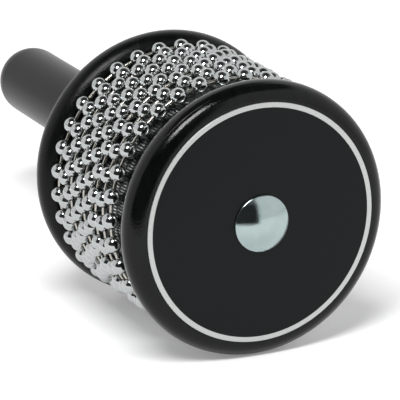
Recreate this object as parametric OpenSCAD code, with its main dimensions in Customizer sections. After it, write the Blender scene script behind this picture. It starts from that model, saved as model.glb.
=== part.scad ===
// Cabasa: loops of steel ball chain that turn round a textured steel drum between two wooden
// flanges, on a straight handle. It lies on its two rims, as on a table: the drum's axis runs
// along Y, the face plate looks towards -Y, the handle points towards +Y and +Z is up. The origin
// is on the table, under the middle of the whole length. Sizes are in millimetres.

/* [Flanges] */
// Diameter of both flanges
flange_d = 101.6; // [100.4:0.2:116]
// Thickness of each flange
flange_t = 13; // [10:0.2:18]
// Width of the straight land between a flange's two rounded edges
flange_land = 0.2; // [0.1:0.1:6]

/* [Drum] */
// Width of the drum between the flanges
drum_w = 63.5; // [58:0.5:80]
// Outer diameter of the steel sleeve
sleeve_d = 86.2; // [76:0.2:87]
// Thickness of the sleeve's sheet
sleeve_t = 0.6; // [0.4:0.1:1.2]
// Width of the butt seam that runs along the sleeve
sleeve_seam_w = 0.5; // [0.2:0.1:1.5]
// Gap between the sleeve and the wooden core
core_gap = 0.1; // [0.05:0.05:0.3]

/* [Ball chain] */
// Diameter of a bead
bead_d = 6.3; // [5.8:0.1:6.6]
// Wall of the hollow beads
bead_wall = 0.4; // [0.3:0.05:0.6]
// Diameter of the two holes in a bead
bead_hole_d = 2.2; // [2:0.1:2.4]
// Shortest distance from bead to bead along a loop
bead_pitch = 8.8; // [8.4:0.1:10]
// Diameter of a link's shank
link_d = 1.3; // [1:0.1:1.3]
// Diameter of a link's round heads
link_head_d = 2.6; // [2.5:0.05:2.6]
// How far a link's head stands back from the hole that holds it
link_slack = 0.15; // [0.1:0.05:0.2]
// Gap between the beads and the sleeve
ring_gap = 0.3; // [0.2:0.05:0.5]
// Gap between two loops side by side
loop_gap = 0.2; // [0.2:0.05:0.3]
// Gap between the last loop and the rear flange
side_gap = 0.3; // [0.2:0.05:0.5]

/* [Face plate] */
// How far the face plate stands back from the flange's rounded edge
plate_inset = 0.2; // [0.1:0.1:8]
// Thickness of the face plate
plate_t = 0.4; // [0.3:0.1:1]

/* [Bolt] */
// Diameter of the bolt's shank
bolt_d = 9.5; // [8:0.1:10]
// How far the bolt reaches into the handle
bolt_reach = 26; // [22:0.5:32]
// Room left in the handle beyond the bolt's end
bolt_end_gap = 8; // [2:0.5:10]
// Diameter of the bolt's head
bolt_head_d = 21.1; // [18:0.1:24]
// Height of the head's straight edge
bolt_edge_h = 0.7; // [0.4:0.1:1.5]
// Height of the head's dome above its edge
bolt_dome_h = 3.3; // [2:0.1:5]
// Depth of the square neck under the head
bolt_neck_h = 5.5; // [4:0.1:8]
// Radial clearance of the bolt in the wood
bolt_gap = 0.25; // [0.1:0.05:0.5]
// Radial clearance of the threads
thread_gap = 0.05; // [0.01:0.01:0.1]

/* [Handle] */
// Diameter of the handle
handle_d = 27; // [24:0.5:32]
// Length of the handle with its round end
handle_l = 134; // [100:1:180]
// Chamfer at the handle's front edge
handle_chamfer = 0.8; // [0.4:0.1:1.5]
// Diameter of the threaded insert
insert_d = 14; // [13:0.5:16]
// Length of the threaded insert
insert_l = 20; // [15:1:22]
// Depth of the insert below the handle's front end
insert_inset = 3; // [1:0.5:5]
// Gap between the insert and the wood
insert_gap = 0.05; // [0.02:0.01:0.1]

/* [Hidden] */
$fn = 48;
overrun = 1;

// Places along the instrument, from the front flange's outer face at zero
rear_inner_y = flange_t + drum_w;
rear_outer_y = rear_inner_y + flange_t;
head_h = plate_t + bolt_edge_h + bolt_dome_h;
whole_l = head_h + rear_outer_y + handle_l;
front_y = head_h - whole_l / 2;

// Edges and bores
edge_r = (flange_t - flange_land) / 2;
bore_r = bolt_d / 2 + bolt_gap;
neck_half = bolt_d / 2;
neck_hole_r = neck_half * sqrt(2) + bolt_gap;
flat_r = flange_d / 2 - edge_r;
plate_r = flat_r - plate_inset;
dome_r = (pow(bolt_head_d / 2, 2) + pow(bolt_dome_h, 2)) / (2 * bolt_dome_h);
core_r = sleeve_d / 2 - sleeve_t - core_gap;

// A loop's circle, the number of its beads and the angle from bead to bead
ring_r = sleeve_d / 2 + ring_gap + bead_d / 2;
bead_count = floor(180 / asin(bead_pitch / 2 / ring_r));
bead_angle = 360 / bead_count;
bead_chord = 2 * ring_r * sin(bead_angle / 2);

// A link's head stands inside the bead, against the edge of the bead's hole
bead_inner_r = bead_d / 2 - bead_wall;
hole_edge_x = sqrt(pow(bead_inner_r, 2) - pow(bead_hole_d / 2, 2));
head_seat_x = sqrt(pow(link_head_d / 2, 2) - pow(bead_hole_d / 2, 2));
head_x = hole_edge_x - head_seat_x - link_slack;

// How far each loop is turned, as a share of the angle from bead to bead. The loops are counted
// from the face plate. A loop whose beads sit between its neighbour's beads is nested: the two lie
// closer together and turn as one.
phase_shares = [0.56, 0.86, 0.91, 0.38, 0.67, 0.15, 0.48, 0.98, 0.92];
nested = [false, false, true, true, true, false, true, false];
last_loop = len(phase_shares) - 1;

// Distance of loop i from the next one behind it
function phase_step(i) =
  let (step = abs(phase_shares[i] - phase_shares[i + 1])) min(step, 1 - step);
function loop_step(i) =
  let (side = bead_d + loop_gap)
  nested[i] ? sqrt(pow(side, 2) - pow(phase_step(i) * bead_chord, 2)) : side;

// Place of loop i along the drum: the last one lies beside the rear flange
function loop_y(i) =
  i == last_loop ? rear_inner_y - side_gap - bead_d / 2 : loop_y(i + 1) - loop_step(i);

// Stands a shape that is drawn along Z from zero at the place y along the instrument
module along(y) {
  translate([0, front_y + y, flange_d / 2]) rotate([-90, 0, 0]) children();
}

// A hole along the instrument's axis, with both ends overrun
module through(r, l) {
  translate([0, 0, -overrun]) cylinder(r = r, h = l + 2 * overrun);
}

// A disc with both edges rounded
module rounded_disc() {
  rotate_extrude() {
    square([flat_r, flange_t]);
    translate([0, edge_r]) square([flange_d / 2, flange_land]);
    for (z = [edge_r, flange_t - edge_r]) translate([flat_r, z]) circle(r = edge_r);
  }
}

// Wooden front flange, with the square seat of the bolt's neck
module front_flange() {
  color("#242628") along(0) difference() {
    rounded_disc();
    through(bore_r, flange_t);
    neck_w = 2 * (neck_half + bolt_gap);
    translate([-neck_w / 2, -neck_w / 2, -overrun])
      cube([neck_w, neck_w, bolt_neck_h + bolt_gap + overrun]);
  }
}

// Wooden rear flange
module rear_flange() {
  color("#242628") along(rear_inner_y) difference() {
    rounded_disc();
    through(bore_r, flange_t);
  }
}

// Thin metal plate on the front flange
module face_plate() {
  color("#d8dad6") along(-plate_t) difference() {
    cylinder(r = plate_r, h = plate_t);
    through(neck_hole_r, plate_t);
  }
}

// Turned wooden core that carries the sleeve
module core() {
  color("#b98a5a") along(flange_t) difference() {
    cylinder(r = core_r, h = drum_w);
    through(bore_r, drum_w);
  }
}

// Steel sheet rolled round the core, its seam at the bottom
module sleeve() {
  color("#9a9c9c") along(flange_t) difference() {
    cylinder(d = sleeve_d, h = drum_w);
    through(sleeve_d / 2 - sleeve_t, drum_w);
    translate([-sleeve_seam_w / 2, 0, -overrun])
      cube([sleeve_seam_w, sleeve_d, drum_w + 2 * overrun]);
  }
}

// Bolt with a domed head and a square neck
module bolt() {
  color("#b4c4c4") {
    along(-plate_t - bolt_edge_h) cylinder(d = bolt_head_d, h = bolt_edge_h);
    along(-plate_t - bolt_edge_h) intersection() {
      translate([0, 0, dome_r - bolt_dome_h]) sphere(r = dome_r);
      translate([0, 0, -bolt_dome_h]) cylinder(d = bolt_head_d, h = bolt_dome_h);
    }
    along(-plate_t) cylinder(d = bolt_d, h = plate_t + rear_outer_y + bolt_reach);
    along(-plate_t) translate([-neck_half, -neck_half, 0])
      cube([bolt_d, bolt_d, bolt_neck_h + plate_t]);
  }
}

// Threaded insert inside the handle
module insert() {
  color("#c9b06a") along(rear_outer_y + insert_inset) difference() {
    cylinder(d = insert_d, h = insert_l);
    through(bolt_d / 2 + thread_gap, insert_l);
  }
}

// Straight round handle with a domed end
module handle() {
  straight_l = handle_l - handle_d / 2;
  color("#424242") along(rear_outer_y) difference() {
    union() {
      cylinder(d1 = handle_d - 2 * handle_chamfer, d2 = handle_d, h = handle_chamfer);
      translate([0, 0, handle_chamfer]) cylinder(d = handle_d, h = straight_l - handle_chamfer);
      translate([0, 0, straight_l]) sphere(d = handle_d);
    }
    translate([0, 0, -overrun]) cylinder(r = bore_r, h = bolt_reach + bolt_end_gap + overrun);
    translate([0, 0, -overrun])
      cylinder(r = insert_d / 2 + insert_gap, h = insert_inset + insert_l + insert_gap + overrun);
  }
}

// One hollow bead, with its holes along Y
module bead() {
  rotate([90, 0, 0]) rotate_extrude() difference() {
    circle(d = bead_d);
    circle(r = bead_inner_r);
    translate([-bead_d, -bead_d]) square([bead_d + bead_hole_d / 2, 2 * bead_d]);
  }
}

// One link along Y: a shank with a round head inside each bead
module link() {
  reach = bead_chord / 2 - head_x;
  rotate([90, 0, 0]) rotate_extrude() intersection() {
    union() {
      translate([0, -reach]) square([link_d / 2, 2 * reach]);
      for (side = [-1, 1]) translate([0, side * reach]) circle(d = link_head_d);
    }
    translate([0, -bead_chord]) square([link_head_d, 2 * bead_chord]);
  }
}

// The beads of loop i. An angle grows from +X towards +Z.
module loop_beads(i) {
  color("#c4c8c8") along(loop_y(i)) for (k = [0 : bead_count - 1])
    rotate([0, 0, -(phase_shares[i] + k) * bead_angle]) translate([ring_r, 0, 0]) bead();
}

// The links between them
module loop_links(i) {
  color("#a8acac") along(loop_y(i)) for (k = [0 : bead_count - 1])
    rotate([0, 0, -(phase_shares[i] + k + 1 / 2) * bead_angle])
      translate([ring_r * cos(bead_angle / 2), 0, 0]) link();
}

front_flange();
rear_flange();
face_plate();
core();
sleeve();
bolt();
insert();
handle();
for (i = [0 : last_loop]) {
  loop_beads(i);
  loop_links(i);
}
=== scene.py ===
# Cabasa: loops of ball chain on an embossed steel drum between two lacquered flanges, with a
# handle, lying on a white studio table
import math
import bpy
import bmesh
from mathutils import Matrix, Quaternion, Vector, noise


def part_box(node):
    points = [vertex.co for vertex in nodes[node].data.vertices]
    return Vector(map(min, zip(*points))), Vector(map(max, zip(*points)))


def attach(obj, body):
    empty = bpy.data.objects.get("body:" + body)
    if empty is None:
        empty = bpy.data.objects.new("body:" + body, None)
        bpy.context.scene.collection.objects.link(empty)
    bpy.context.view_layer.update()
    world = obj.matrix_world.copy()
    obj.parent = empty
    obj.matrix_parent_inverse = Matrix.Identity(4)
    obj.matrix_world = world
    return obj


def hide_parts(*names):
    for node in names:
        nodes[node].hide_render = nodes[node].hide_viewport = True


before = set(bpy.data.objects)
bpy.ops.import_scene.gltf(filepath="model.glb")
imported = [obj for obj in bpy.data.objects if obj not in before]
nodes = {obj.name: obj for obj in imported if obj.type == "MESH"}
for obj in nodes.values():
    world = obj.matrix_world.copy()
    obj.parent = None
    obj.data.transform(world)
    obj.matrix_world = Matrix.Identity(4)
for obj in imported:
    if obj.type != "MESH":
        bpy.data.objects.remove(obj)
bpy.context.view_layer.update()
mm = 0.001
hair = 0.001 * mm  # points closer than this are one

# Read from the solids: the drum's axis lies along y at this height, and the front flange faces -y
frontLow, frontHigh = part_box("front_flange")
axisHeight = (frontLow[2] + frontHigh[2]) / 2
flangeRadius = (frontHigh[0] - frontLow[0]) / 2
sleeveLow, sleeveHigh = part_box("sleeve")
sleeveRadius = (sleeveHigh[0] - sleeveLow[0]) / 2


# Finishes. Sizes, depths and spacings are in mm; a roughness pair is its least and its most. The
# IORs of the black ones are below the usual 1.5, matched to how faintly the instrument reflects.

def srgb(code):  # a hex colour as the linear values that a shader takes
    values = [int(code[i:i + 2], 16) / 255 for i in (1, 3, 5)]
    return [v / 12.92 if v <= 0.04045 else ((v + 0.055) / 1.055) ** 2.4 for v in values] + [1]


def setInputs(tree, node, inputs):  # links what comes from another node, sets the rest
    for name, value in inputs.items():
        if isinstance(value, bpy.types.NodeSocket):
            tree.links.new(value, node.inputs[name])
        else:
            node.inputs[name].default_value = value


def addNode(tree, kind, inputs=None, stops=(), **settings):
    node = tree.nodes.new("ShaderNode" + kind)
    for name, value in settings.items():
        setattr(node, name, value)
    setInputs(tree, node, inputs or {})
    for i, (position, colour) in enumerate(stops):  # a new ramp already has its first and last stop
        line = node.color_ramp.elements
        stop = line[0] if i == 0 else line[-1] if i == len(stops) - 1 else line.new(position)
        stop.position, stop.color = position, srgb(colour)
    return node


def newMaterial(name):
    material = bpy.data.materials.new(name)
    material.use_nodes = True
    tree = material.node_tree
    return material, tree, tree.nodes["Principled BSDF"]


def axisDistance(tree, place):  # how far a point is from the drum's axis
    parts = addNode(tree, "SeparateXYZ", {"Vector": place}).outputs
    up = addNode(tree, "Math", {0: parts["Z"], 1: axisHeight}, operation="SUBTRACT").outputs[0]
    flat = addNode(tree, "CombineXYZ", {"X": parts["X"], "Y": up}).outputs[0]
    return addNode(tree, "VectorMath", {0: flat}, operation="LENGTH").outputs["Value"]


lacquerLook = {"grain": 2.5, "stretch": (1, 0.2, 0.12), "peel": 0.5,
               "colours": [(0.35, "#050606"), (0.7, "#0d0e0e")],
               "front": {"ior": 1.31, "roughness": (0.05, 0.08), "peelDepth": 0.045},
               "rear": {"ior": 1.25, "roughness": (0.2, 0.28), "peelDepth": 0.11}}


def blackLacquer(name, coat):
    # Black lacquer sprayed on turned hardwood: dark and glossy, with a hint of grain, and orange
    # peel that breaks up the reflections. The peel is drawn deeper than the real one, which would
    # be too fine to show.
    look = lacquerLook
    least, most = look[coat]["roughness"]
    material, tree, shader = newMaterial(name)
    place = addNode(tree, "TexCoord").outputs["Object"]
    grainPlace = addNode(tree, "Mapping", {"Vector": place, "Scale": look["stretch"]}).outputs[0]
    grain = addNode(tree, "TexNoise", {"Vector": grainPlace, "Scale": 1 / (look["grain"] * mm),
                                       "Detail": 5}).outputs["Fac"]
    peel = addNode(tree, "TexNoise", {"Vector": place, "Scale": 1 / (look["peel"] * mm),
                                      "Detail": 2}).outputs["Fac"]
    colour = addNode(tree, "ValToRGB", {"Fac": grain}, look["colours"]).outputs["Color"]
    gloss = addNode(tree, "MapRange", {"Value": grain, "To Min": least, "To Max": most}).outputs[0]
    relief = addNode(tree, "Bump", {"Height": peel, "Distance": look[coat]["peelDepth"] * mm}).outputs[0]
    setInputs(tree, shader, {"IOR": look[coat]["ior"], "Base Color": colour, "Roughness": gloss,
                             "Normal": relief})
    return material


# borderInner is a radius: the silver border runs from there to the edge
plateLook = {"borderInner": 42.33, "edgeSoftness": 0.06, "fleck": 0.5, "fleckDepth": 0.004,
             "black": [(0.3, "#0b0d0e"), (0.7, "#111315")],
             "silver": [(0.3, "#b9bbba"), (0.7, "#c6c8c6")],
             "ior": 1.25, "roughness": (0.28, 0.38)}


def printedPlate():
    # Thin aluminium sheet, screen-printed satin black but for a bare border round its edge. The
    # fleck of the print is drawn coarser than the real one, which would be too fine to show.
    look = plateLook
    least, most = look["roughness"]
    border, soft = look["borderInner"] * mm, look["edgeSoftness"] * mm
    material, tree, shader = newMaterial("screen-printed aluminium")
    place = addNode(tree, "TexCoord").outputs["Object"]
    bare = addNode(tree, "MapRange", {"Value": axisDistance(tree, place), "From Min": border - soft,
                                      "From Max": border + soft}).outputs[0]
    fleck = addNode(tree, "TexNoise", {"Vector": place, "Scale": 1 / (look["fleck"] * mm),
                                       "Detail": 4}).outputs["Fac"]
    black = addNode(tree, "ValToRGB", {"Fac": fleck}, look["black"]).outputs["Color"]
    silver = addNode(tree, "ValToRGB", {"Fac": fleck}, look["silver"]).outputs["Color"]
    # a Mix node's colours go in at 6 and 7 and out at 2, its plain values in at 2 and 3 and out at 0
    colour = addNode(tree, "Mix", {0: bare, 6: black, 7: silver}, data_type="RGBA").outputs[2]
    gloss = addNode(tree, "MapRange", {"Value": fleck, "To Min": least, "To Max": most}).outputs[0]
    relief = addNode(tree, "Bump", {"Height": fleck, "Distance": look["fleckDepth"] * mm}).outputs[0]
    setInputs(tree, shader, {"IOR": look["ior"], "Metallic": bare, "Base Color": colour,
                             "Roughness": gloss, "Normal": relief})
    return material


nickelLook = {"colour": "#b4b7b7", "dent": 3.0, "dentDepth": 0.02, "haze": 9.0,
              "roughness": (0.02, 0.06)}


def polishedNickel():
    # Nickel-plated steel beads, stamped and barrel-polished: mirror-bright with faint dents
    look = nickelLook
    least, most = look["roughness"]
    material, tree, shader = newMaterial("polished nickel plate")
    place = addNode(tree, "TexCoord").outputs["Object"]
    dents = addNode(tree, "TexNoise", {"Vector": place, "Scale": 1 / (look["dent"] * mm),
                                       "Detail": 1.5}).outputs["Fac"]
    haze = addNode(tree, "TexNoise", {"Vector": place, "Scale": 1 / (look["haze"] * mm),
                                      "Detail": 3}).outputs["Fac"]
    gloss = addNode(tree, "MapRange", {"Value": haze, "To Min": least, "To Max": most}).outputs[0]
    relief = addNode(tree, "Bump", {"Height": dents, "Distance": look["dentDepth"] * mm}).outputs[0]
    setInputs(tree, shader, {"Base Color": srgb(look["colour"]), "Metallic": 1.0, "Roughness": gloss,
                             "Normal": relief})
    return material


wireLook = {"colours": [(0.3, "#a8a59e"), (0.7, "#c0bdb6")], "haze": 1.5, "roughness": (0.1, 0.25)}


def brightWire():
    # Nickel-plated steel wire of the links, drawn, with a warm tinge: a little duller than the beads
    look = wireLook
    least, most = look["roughness"]
    material, tree, shader = newMaterial("drawn nickel-plated wire")
    place = addNode(tree, "TexCoord").outputs["Object"]
    haze = addNode(tree, "TexNoise", {"Vector": place, "Scale": 1 / (look["haze"] * mm),
                                      "Detail": 3}).outputs["Fac"]
    colour = addNode(tree, "ValToRGB", {"Fac": haze}, look["colours"]).outputs["Color"]
    gloss = addNode(tree, "MapRange", {"Value": haze, "To Min": least, "To Max": most}).outputs[0]
    setInputs(tree, shader, {"Metallic": 1.0, "Base Color": colour, "Roughness": gloss})
    return material


# the colours run from painted shade in the hollows to a painted highlight on the crests
steelLook = {"colours": [(0.3, "#222423"), (0.96, "#898c8b"), (1.0, "#e3e7e5")], "stain": 2.0,
             "stainShare": 0.6, "hollowRoughness": 0.4, "crestRoughness": 0.18}


def embossedSteel():
    # Stainless sheet pressed into short ridges, with random stains. The colour has painted shade
    # darkening the hollows and a painted highlight brightening the crests.
    look = steelLook
    material, tree, shader = newMaterial("embossed stainless sheet")
    place = addNode(tree, "TexCoord").outputs["Object"]
    # how far a point stands out from the drum's axis tells crests from hollows; it sets the roughness,
    # and the painted shade in the hollows and painted highlight on the crests
    crest = addNode(tree, "MapRange", {"Value": axisDistance(tree, place),
                                       "From Min": sleeveRadius - sleeveLook["depth"] * mm,
                                       "From Max": sleeveRadius}).outputs[0]
    stain = addNode(tree, "TexNoise", {"Vector": place, "Scale": 1 / (look["stain"] * mm),
                                       "Detail": 4}).outputs["Fac"]
    # random stains plus the crest mask: the mask paints shade into the hollows and a highlight onto the
    # crests
    stainAndPaintedShade = addNode(tree, "Math", {0: stain, 1: look["stainShare"], 2: crest},
                   operation="MULTIPLY_ADD").outputs[0]
    colour = addNode(tree, "ValToRGB", {"Fac": stainAndPaintedShade}, look["colours"]).outputs["Color"]
    gloss = addNode(tree, "MapRange", {"Value": crest, "To Min": look["hollowRoughness"],
                                       "To Max": look["crestRoughness"]}).outputs[0]
    setInputs(tree, shader, {"Metallic": 1.0, "Base Color": colour, "Roughness": gloss})
    return material


zincLook = {"colours": [(0.35, "#a0b0b0"), (0.65, "#aab9b8")], "cloud": 6.0, "grain": 0.45,
            "grainDepth": 0.035, "roughness": (0.04, 0.08)}


def brightZinc():
    # Electroplated zinc with a blue passivate: pale, bluish, with a grain that is drawn coarser
    # and deeper than the real one, to show
    look = zincLook
    least, most = look["roughness"]
    material, tree, shader = newMaterial("blue bright zinc plate")
    place = addNode(tree, "TexCoord").outputs["Object"]
    grain = addNode(tree, "TexNoise", {"Vector": place, "Scale": 1 / (look["grain"] * mm),
                                       "Detail": 3}).outputs["Fac"]
    cloud = addNode(tree, "TexNoise", {"Vector": place, "Scale": 1 / (look["cloud"] * mm),
                                       "Detail": 3}).outputs["Fac"]
    colour = addNode(tree, "ValToRGB", {"Fac": cloud}, look["colours"]).outputs["Color"]
    gloss = addNode(tree, "MapRange", {"Value": grain, "To Min": least, "To Max": most}).outputs[0]
    relief = addNode(tree, "Bump", {"Height": grain, "Distance": look["grainDepth"] * mm}).outputs[0]
    setInputs(tree, shader, {"Metallic": 1.0, "Base Color": colour, "Roughness": gloss,
                             "Normal": relief})
    return material


plasticLook = {"colours": [(0.3, "#0a0a0a"), (0.7, "#111111")], "grit": 0.5, "gritDepth": 0.03,
               "ior": 1.24, "roughness": (0.26, 0.33), "sheen": 0.17, "sheenRoughness": 0.26}


def mattPlastic():
    # Moulded ABS with a spark-eroded texture: matt charcoal that pales at a glancing angle. The
    # grit is drawn coarser than the real one, which would be too fine to show.
    look = plasticLook
    least, most = look["roughness"]
    material, tree, shader = newMaterial("textured ABS")
    place = addNode(tree, "TexCoord").outputs["Object"]
    grit = addNode(tree, "TexNoise", {"Vector": place, "Scale": 1 / (look["grit"] * mm),
                                      "Detail": 2}).outputs["Fac"]
    colour = addNode(tree, "ValToRGB", {"Fac": grit}, look["colours"]).outputs["Color"]
    gloss = addNode(tree, "MapRange", {"Value": grit, "To Min": least, "To Max": most}).outputs[0]
    relief = addNode(tree, "Bump", {"Height": grit, "Distance": look["gritDepth"] * mm}).outputs[0]
    setInputs(tree, shader, {"IOR": look["ior"], "Sheen Weight": look["sheen"],
                             "Sheen Roughness": look["sheenRoughness"], "Base Color": colour,
                             "Roughness": gloss, "Normal": relief})
    return material


brassLook = {"colours": [(0.3, "#cfae5c"), (0.7, "#dcbd6e")], "rings": 0.4, "stretch": (0.1, 1, 0.1),
             "roughness": (0.22, 0.4)}


def turnedBrass():
    # Free-cutting brass, turned and tapped: yellow, with fine rings from the lathe
    look = brassLook
    least, most = look["roughness"]
    material, tree, shader = newMaterial("turned brass")
    place = addNode(tree, "TexCoord").outputs["Object"]
    ringPlace = addNode(tree, "Mapping", {"Vector": place, "Scale": look["stretch"]}).outputs[0]
    rings = addNode(tree, "TexNoise", {"Vector": ringPlace, "Scale": 1 / (look["rings"] * mm),
                                       "Detail": 3}).outputs["Fac"]
    colour = addNode(tree, "ValToRGB", {"Fac": rings}, look["colours"]).outputs["Color"]
    gloss = addNode(tree, "MapRange", {"Value": rings, "To Min": least, "To Max": most}).outputs[0]
    setInputs(tree, shader, {"Metallic": 1.0, "Base Color": colour, "Roughness": gloss})
    return material


beechLook = {"colours": [(0.3, "#b0814f"), (0.7, "#d3a876")], "grain": 1.5, "stretch": (1, 0.1, 1),
             "roughness": 0.5}


def turnedBeech():
    # Turned beech, sealed: warm, with grain along the drum
    look = beechLook
    material, tree, shader = newMaterial("turned beech")
    place = addNode(tree, "TexCoord").outputs["Object"]
    grainPlace = addNode(tree, "Mapping", {"Vector": place, "Scale": look["stretch"]}).outputs[0]
    grain = addNode(tree, "TexNoise", {"Vector": grainPlace, "Scale": 1 / (look["grain"] * mm),
                                       "Detail": 5}).outputs["Fac"]
    colour = addNode(tree, "ValToRGB", {"Fac": grain}, look["colours"]).outputs["Color"]
    setInputs(tree, shader, {"Base Color": colour, "Roughness": look["roughness"]})
    return material


# Camera at the photograph's angle: a long lens, well away from the instrument. Its place is in
# metres, its heading and dip in degrees, its lens and film in mm.
cameraLook = {"place": (-0.4980, -1.1133, 0.4103), "heading": 25.285, "dip": 17.397, "lens": 299.07,
              "film": 36}


def makeCamera():
    look = cameraLook
    data = bpy.data.cameras.new("camera")
    data.lens = look["lens"]
    data.sensor_width = look["film"]
    camera = bpy.data.objects.new("camera", data)
    camera.location = look["place"]
    camera.rotation_euler = (math.radians(90 - look["dip"]), 0, -math.radians(look["heading"]))
    bpy.context.collection.objects.link(camera)
    bpy.context.scene.camera = camera


# Pieces. Sizes are in mm, and round ones are diameters. The steps of a ring are those of the whole
# circle. The crease is the angle in degrees from which an edge stays sharp.

def finishPiece(name, bm, node, crease):  # hands over a piece that stands in for a solid's node
    mesh = bpy.data.meshes.new(name)
    bm.to_mesh(mesh)
    bm.free()
    mesh.shade_smooth()
    mesh.set_sharp_from_angle(angle=math.radians(crease))
    mesh.materials.append(materials[node])
    piece = bpy.data.objects.new(name, mesh)
    bpy.context.collection.objects.link(piece)
    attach(piece, "head")
    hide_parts(node)
    print(name, len(mesh.polygons), "faces")


def sweepArc(bm, start, x, y, angle, steps):  # swings a vertex about an upright line; returns its end
    arc = bmesh.ops.spin(bm, geom=[start], cent=(x, y, axisHeight), axis=(0, 0, 1),
                         angle=math.radians(angle), steps=steps, use_merge=False)
    return [v for v in arc["geom_last"] if isinstance(v, bmesh.types.BMVert)][0]


def stepTo(bm, start, x, y):  # a straight piece of a profile; returns its end
    end = bm.verts.new((x, y, axisHeight))
    bm.edges.new((start, end))
    return end


def turnProfile(bm, steps):  # turns the whole profile round the drum's axis
    bmesh.ops.spin(bm, geom=bm.verts[:] + bm.edges[:], cent=(0, 0, axisHeight), axis=(0, 1, 0),
                   angle=2 * math.pi, steps=steps, use_merge=True)
    bmesh.ops.remove_doubles(bm, verts=bm.verts, dist=hair)


def addRing(bm, radius, y, sides, turn=0):  # a loose ring round the drum's axis; returns its edges
    place = Matrix.Translation((0, y, axisHeight)) @ Matrix.Rotation(
        math.radians(90), 4, "X") @ Matrix.Rotation(math.radians(turn), 4, "Z")
    bmesh.ops.create_circle(bm, cap_ends=False, segments=sides, radius=radius, matrix=place)
    return [e for e in bm.edges if e.is_wire]


def addSquare(bm, width, y, steps):  # a loose square with as many edges as a ring has steps
    sides = addRing(bm, width / math.sqrt(2), y, 4, turn=45)
    bmesh.ops.subdivide_edges(bm, edges=sides, cuts=steps // 4 - 1)
    return [e for e in bm.edges if e.is_wire]


def pullEdges(bm, edges, length):  # draws a ring of edges out along the drum; returns the new ring
    pulled = bmesh.ops.extrude_edge_only(bm, edges=edges)["geom"]
    bmesh.ops.translate(bm, verts=[v for v in pulled if isinstance(v, bmesh.types.BMVert)],
                        vec=(0, length, 0))
    return [e for e in pulled if isinstance(e, bmesh.types.BMEdge)]


# Sheet rolled round the core, with its seam underneath. The ridges run along the drum, and each
# row is set half a ridge aside. "ends" is how steeply a ridge rises at its ends. "uneven" is the
# share of its height that it may lack, from a noise that moves on by the two steps per ridge and row.
sleeveLook = {"ridges": 220, "rows": 12, "depth": 0.28, "sheet": 0.32, "seam": 0.5, "ends": 2.2,
              "uneven": 0.6, "ridgeStep": 0.6, "rowStep": 2.3, "noiseStart": 0.5,
              "acrossSteps": 4, "alongSteps": 4, "crease": 60}


def makeSleeve():
    look = sleeveLook
    length = sleeveHigh[1] - sleeveLow[1]
    halfSeam = look["seam"] * mm / 2 / sleeveRadius
    bm = bmesh.new()
    bmesh.ops.create_grid(bm, x_segments=look["ridges"] * look["acrossSteps"],
                          y_segments=look["rows"] * look["alongSteps"], size=0.5)
    for vert in bm.verts:
        turn, run = vert.co.x + 0.5, vert.co.y + 0.5  # from 0 to 1 round the drum and along it
        ridge = turn * look["ridges"]
        row = min(int(run * look["rows"]), look["rows"] - 1)
        wave = 0.5 + 0.5 * math.cos(2 * math.pi * (ridge + 0.5 * (row % 2)))
        swell = min(1, look["ends"] * math.sin(math.pi * (run * look["rows"] - row)))
        spot = (look["ridgeStep"] * ridge, look["rowStep"] * row, look["noiseStart"])
        swell *= 1 - look["uneven"] * abs(noise.noise(spot))
        radius = sleeveRadius - look["depth"] * mm * (1 - wave * swell)
        angle = -math.pi / 2 + halfSeam + turn * (2 * math.pi - 2 * halfSeam)
        vert.co = (radius * math.cos(angle), sleeveLow[1] + run * length,
                   axisHeight + radius * math.sin(angle))
    bmesh.ops.reverse_faces(bm, faces=bm.faces)  # rolled this way, the sheet has its face inside
    bmesh.ops.solidify(bm, geom=bm.faces[:], thickness=look["sheet"] * mm)
    finishPiece("embossed_sleeve", bm, "sleeve", look["crease"])


# Turned disc with a rounded rim, of radius "rim". Where two cuts of the gouge meet, a fine ridge
# runs round it. "ridgeAt", "fineArc" and the two steps of the profile are degrees of the rounding.
flangeLook = {"rim": 6.4, "ridgeAt": 60, "ridgeHalf": 0.2, "ridgeHeight": 0.03, "bore": 9.94, "seat": 10,
              "seatDepth": 5.75, "steps": 192, "fineArc": 8, "fineStep": 0.4, "arcStep": 2, "crease": 30}


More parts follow.
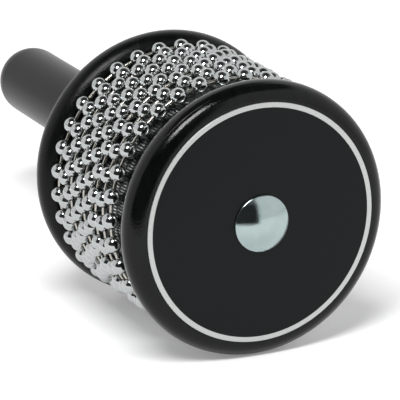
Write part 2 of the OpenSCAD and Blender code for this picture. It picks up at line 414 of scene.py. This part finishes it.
def makeFrontFlange():
    look = flangeLook
    rim = look["rim"] * mm
    flat = flangeRadius - rim
    front, back = frontLow[1], frontHigh[1]
    bm = bmesh.new()
    # the rim's profile from the front face to the side, finer round the ridge
    end = bm.verts.new((flat, front, axisHeight))
    before = look["ridgeAt"] - look["fineArc"] / 2
    after = 90 - before - look["fineArc"]
    for angle, step in ((before, look["arcStep"]), (look["fineArc"], look["fineStep"]),
                        (after, look["arcStep"])):
        end = sweepArc(bm, end, flat, front + rim, angle, round(angle / step))
    centre = Vector((flat, front + rim, axisHeight))
    for vert in bm.verts:
        out = vert.co - centre
        off = (math.atan2(out.x, -out.y) - math.radians(look["ridgeAt"])) * look["rim"]  # in mm
        if abs(off) < look["ridgeHalf"]:
            swell = math.cos(math.pi / 2 * off / look["ridgeHalf"]) ** 2
            vert.co += out.normalized() * look["ridgeHeight"] * mm * swell
    # the side and the rounding to the back face
    end = stepTo(bm, end, flangeRadius, back - rim)
    end = sweepArc(bm, end, flat, back - rim, 90, round(90 / look["arcStep"]))
    # the bore, up to the floor of the square seat of the bolt's neck
    seatFloor = front + look["seatDepth"] * mm
    end = stepTo(bm, end, look["bore"] / 2 * mm, back)
    stepTo(bm, end, look["bore"] / 2 * mm, seatFloor)
    turnProfile(bm, look["steps"])
    # the two open rings are joined to the square seat: one is its floor, the other the front face
    ends = [e for e in bm.edges if e.is_boundary]
    floorRing = [e for e in ends if e.verts[0].co.y > front + rim / 2]
    faceRing = [e for e in ends if e.verts[0].co.y < front + rim / 2]
    sides = addSquare(bm, look["seat"] * mm, seatFloor, look["steps"])
    bmesh.ops.bridge_loops(bm, edges=floorRing + sides)
    bmesh.ops.bridge_loops(bm, edges=faceRing + pullEdges(bm, sides, front - seatFloor))
    bmesh.ops.recalc_face_normals(bm, faces=bm.faces)
    finishPiece("turned_front_flange", bm, "front_flange", look["crease"])


# Sheet blanked by a press, which leaves its edge rounded
facePlateLook = {"hole": 13.93, "edgeRound": 0.18, "edgeSteps": 8, "steps": 192, "crease": 30}


def makeFacePlate():
    look = facePlateLook
    low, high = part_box("face_plate")
    hole, edge = look["hole"] / 2 * mm, look["edgeRound"] * mm
    outer = (high[0] - low[0]) / 2
    bm = bmesh.new()
    start = bm.verts.new((hole, low[1], axisHeight))
    end = stepTo(bm, start, outer - edge, low[1])
    end = sweepArc(bm, end, outer - edge, low[1] + edge, 90, look["edgeSteps"])
    end = stepTo(bm, end, outer, high[1])
    end = stepTo(bm, end, hole, high[1])
    bm.edges.new((end, start))
    turnProfile(bm, look["steps"])
    bmesh.ops.recalc_face_normals(bm, faces=bm.faces)
    finishPiece("pressed_face_plate", bm, "face_plate", look["crease"])


# Carriage bolt: low dome on a thin edge, square neck, round shank. The edge is rounded towards the
# dome and towards the underside, which is turned up to "underHead" and then joined to the neck.
boltLook = {"edge": 0.7, "dome": 3.3, "upperRound": 0.28, "lowerRound": 0.08, "roundSteps": 5,
            "underHead": 15.6, "neck": 9.5, "neckDepth": 5.9, "shank": 9.5, "tipChamfer": 0.8,
            "steps": 96, "domeSteps": 14, "crease": 40}


def makeBolt():
    look = boltLook
    low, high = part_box("bolt")
    headRadius = (high[0] - low[0]) / 2
    dome, edge = look["dome"] * mm, look["edge"] * mm
    domeRadius = (headRadius ** 2 + dome ** 2) / (2 * dome)
    rimAngle = math.degrees(math.asin(headRadius / domeRadius))
    bm = bmesh.new()
    # the dome's arc from its top to the rim, then the edge and the flat underside
    top = bm.verts.new((0, low[1], axisHeight))
    rim = sweepArc(bm, top, 0, low[1] + domeRadius, rimAngle, look["domeSteps"])
    corner = stepTo(bm, rim, headRadius, rim.co.y + edge)
    stepTo(bm, corner, look["underHead"] / 2 * mm, rim.co.y + edge)
    turnProfile(bm, look["steps"])
    underside = low[1] + dome + edge
    for y, offset in ((underside, look["lowerRound"]), (underside - edge, look["upperRound"])):
        ring = [e for e in bm.edges
                if all(abs(v.co.y - y) < hair and not v.is_boundary for v in e.verts)]
        bmesh.ops.bevel(bm, geom=ring, offset=offset * mm, offset_type="OFFSET",
                        segments=look["roundSteps"], affect="EDGES", profile=0.5, material=-1)
    # square neck, then the round shank down to its tip
    neckEnd = underside + look["neckDepth"] * mm
    headRing = [e for e in bm.edges if e.is_boundary]
    sides = addSquare(bm, look["neck"] * mm, underside, look["steps"])
    bmesh.ops.bridge_loops(bm, edges=headRing + sides)
    neckRing = pullEdges(bm, sides, neckEnd - underside)
    shankRing = addRing(bm, look["shank"] / 2 * mm, neckEnd, look["steps"])
    bmesh.ops.bridge_loops(bm, edges=neckRing + shankRing)
    tipRing = pullEdges(bm, shankRing, high[1] - neckEnd)
    tip = bmesh.ops.edgeloop_fill(bm, edges=tipRing)["faces"]
    bmesh.ops.bevel(bm, geom=[e for f in tip for e in f.edges], offset=look["tipChamfer"] * mm,
                    offset_type="OFFSET", segments=1, affect="EDGES", profile=0.5, material=-1)
    bmesh.ops.recalc_face_normals(bm, faces=bm.faces)
    finishPiece("carriage_bolt", bm, "bolt", look["crease"])


def dressNodes():  # the nodes of a loop end in the name of their finish
    for name, node in nodes.items():
        key = name.rsplit("_", 1)[-1] if name.startswith("loop_") else name
        node.data.materials.clear()
        node.data.materials.append(materials[key])


# Studio: a white sheet of paper, a soft key light up on the left, and a pale room that is dark
# round the camera, in a doorway on the right and overhead. Sizes are in metres and angles in
# degrees. An azimuth runs from the way the face plate looks, to the right.

# The lamp's width and height are the angles that it fills, as seen from the instrument
keyLook = {"azimuth": -35.5, "elevation": 54, "distance": 2.6, "width": 15, "height": 25, "roll": -40,
           "radiance": 23.0}


def makeKeyLight():
    look = keyLook
    azimuth, elevation = math.radians(look["azimuth"]), math.radians(look["elevation"])
    direction = Vector((math.sin(azimuth) * math.cos(elevation),
                        -math.cos(azimuth) * math.cos(elevation), math.sin(elevation)))
    light = bpy.data.lights.new("key", "AREA")
    light.shape = "RECTANGLE"
    light.size = 2 * look["distance"] * math.tan(math.radians(look["width"] / 2))
    light.size_y = 2 * look["distance"] * math.tan(math.radians(look["height"] / 2))
    light.energy = look["radiance"] * math.pi * light.size * light.size_y  # its power for that radiance
    lamp = bpy.data.objects.new("key", light)
    lamp.location = Vector((0, 0, axisHeight)) + direction * look["distance"]
    roll = Quaternion((0, 0, 1), math.radians(look["roll"]))
    lamp.rotation_euler = (direction.to_track_quat("Z", "Y") @ roll).to_euler()
    bpy.context.collection.objects.link(lamp)


# On the camera's side the paper ends at "edge" from the instrument, square to "edgeAzimuth", so
# that the chrome shows the dark side of the room below the table's level too. Right of a line at
# "endAzimuth" it goes on.
paperLook = {"size": 24, "colour": "#f4f4f4", "roughness": 0.9, "lift": 0.2, "edge": 0.35,
             "edgeAzimuth": -20, "endAzimuth": 9}


def makePaper():
    look = paperLook
    bm = bmesh.new()
    bmesh.ops.create_grid(bm, x_segments=1, y_segments=1, size=look["size"] / 2)
    edgeAzimuth, endAzimuth = math.radians(look["edgeAzimuth"]), math.radians(look["endAzimuth"])
    out = Vector((math.sin(edgeAzimuth), -math.cos(edgeAzimuth), 0))
    left = Vector((-math.cos(endAzimuth), -math.sin(endAzimuth), 0))
    for place, plane in ((out * look["edge"], out), (Vector(), left)):
        bmesh.ops.bisect_plane(bm, geom=bm.verts[:] + bm.edges[:] + bm.faces[:], plane_co=place,
                               plane_no=plane)
    gone = [f for f in bm.faces if f.calc_center_median().dot(out) > look["edge"]
            and f.calc_center_median().dot(left) > 0]
    bmesh.ops.delete(bm, geom=gone, context="FACES")
    mesh = bpy.data.meshes.new("paper")
    bm.to_mesh(mesh)
    bm.free()
    paper = bpy.data.objects.new("paper", mesh)
    bpy.context.collection.objects.link(paper)
    # a little light of its own lifts the paper to white, also in metal, and keeps the shadow on it
    material, tree, shader = newMaterial("white paper")
    path = addNode(tree, "LightPath").outputs
    seen = 0.0
    for kind in ("Is Camera Ray", "Is Glossy Ray", "Is Transmission Ray"):
        seen = addNode(tree, "Math", {0: seen, 1: path[kind]}, operation="MAXIMUM").outputs[0]
    lift = addNode(tree, "Math", {0: seen, 1: look["lift"]}, operation="MULTIPLY").outputs[0]
    setInputs(tree, shader, {"Base Color": srgb(look["colour"]), "Roughness": look["roughness"],
                             "Emission Color": srgb("#ffffff"), "Emission Strength": lift})
    mesh.materials.append(material)


# Tones of the room, where 1 is white. A patch is its tone and its edges, at which it fades in from
# the first angle to the second, and it lies over the patches before it.
cameraSide = [("azimuth", -90, -84), ("azimuth", 11, 6)]
doorway = [("azimuth", 30, 42), ("azimuth", 116, 104)]
roomLook = {"walls": 1.0, "patches": [
    (0.27, cameraSide),
    (0.04, cameraSide + [("elevation", 40, 32)]),
    (0.045, doorway + [("elevation", 42, 48)]),
    (0.12, [("elevation", 47, 53)]),
    (0.045, [("elevation", 64, 70)]),
]}


def makeRoom():
    look = roomLook
    world = bpy.data.worlds.new("room")
    bpy.context.scene.world = world
    world.use_nodes = True
    tree = world.node_tree
    way = addNode(tree, "SeparateXYZ", {0: addNode(tree, "TexCoord").outputs["Generated"]}).outputs
    ahead = addNode(tree, "Math", {0: way["Y"], 1: -1}, operation="MULTIPLY").outputs[0]
    angles = {"azimuth": addNode(tree, "Math", {0: way["X"], 1: ahead}, operation="ARCTAN2").outputs[0],
              "elevation": addNode(tree, "Math", {0: way["Z"]}, operation="ARCSINE").outputs[0]}
    room = look["walls"]
    for tone, edges in look["patches"]:
        share = 1.0
        for kind, start, end in edges:
            fade = addNode(tree, "MapRange", {"Value": angles[kind], "From Min": math.radians(start),
                                              "From Max": math.radians(end)},
                           interpolation_type="SMOOTHSTEP").outputs[0]
            share = addNode(tree, "Math", {0: share, 1: fade}, operation="MULTIPLY").outputs[0]
        room = addNode(tree, "Mix", {0: share, 2: room, 3: tone}).outputs[0]
    # the camera sees plain white behind the object; metal sees the room, whose walls are as white
    camera = addNode(tree, "LightPath").outputs["Is Camera Ray"]
    strength = addNode(tree, "Mix", {0: camera, 2: room, 3: 1.0}).outputs[0]
    setInputs(tree, tree.nodes["Background"], {"Color": srgb("#ffffff"), "Strength": strength})


makeCamera()
print("camera set")

materials = {
    "front_flange": blackLacquer("black lacquer on hardwood", "front"),
    "rear_flange": blackLacquer("satin black lacquer on hardwood", "rear"),
    "face_plate": printedPlate(), "core": turnedBeech(), "sleeve": embossedSteel(),
    "bolt": brightZinc(), "insert": turnedBrass(), "handle": mattPlastic(),
    "beads": polishedNickel(), "links": brightWire(),
}
print("materials made:", len(materials))

makeSleeve()
makeFrontFlange()
makeFacePlate()
makeBolt()
dressNodes()
print("nodes dressed:", len(nodes))

makeKeyLight()
makePaper()
makeRoom()
bpy.context.scene.view_settings.view_transform = "Standard"
print("studio lit")
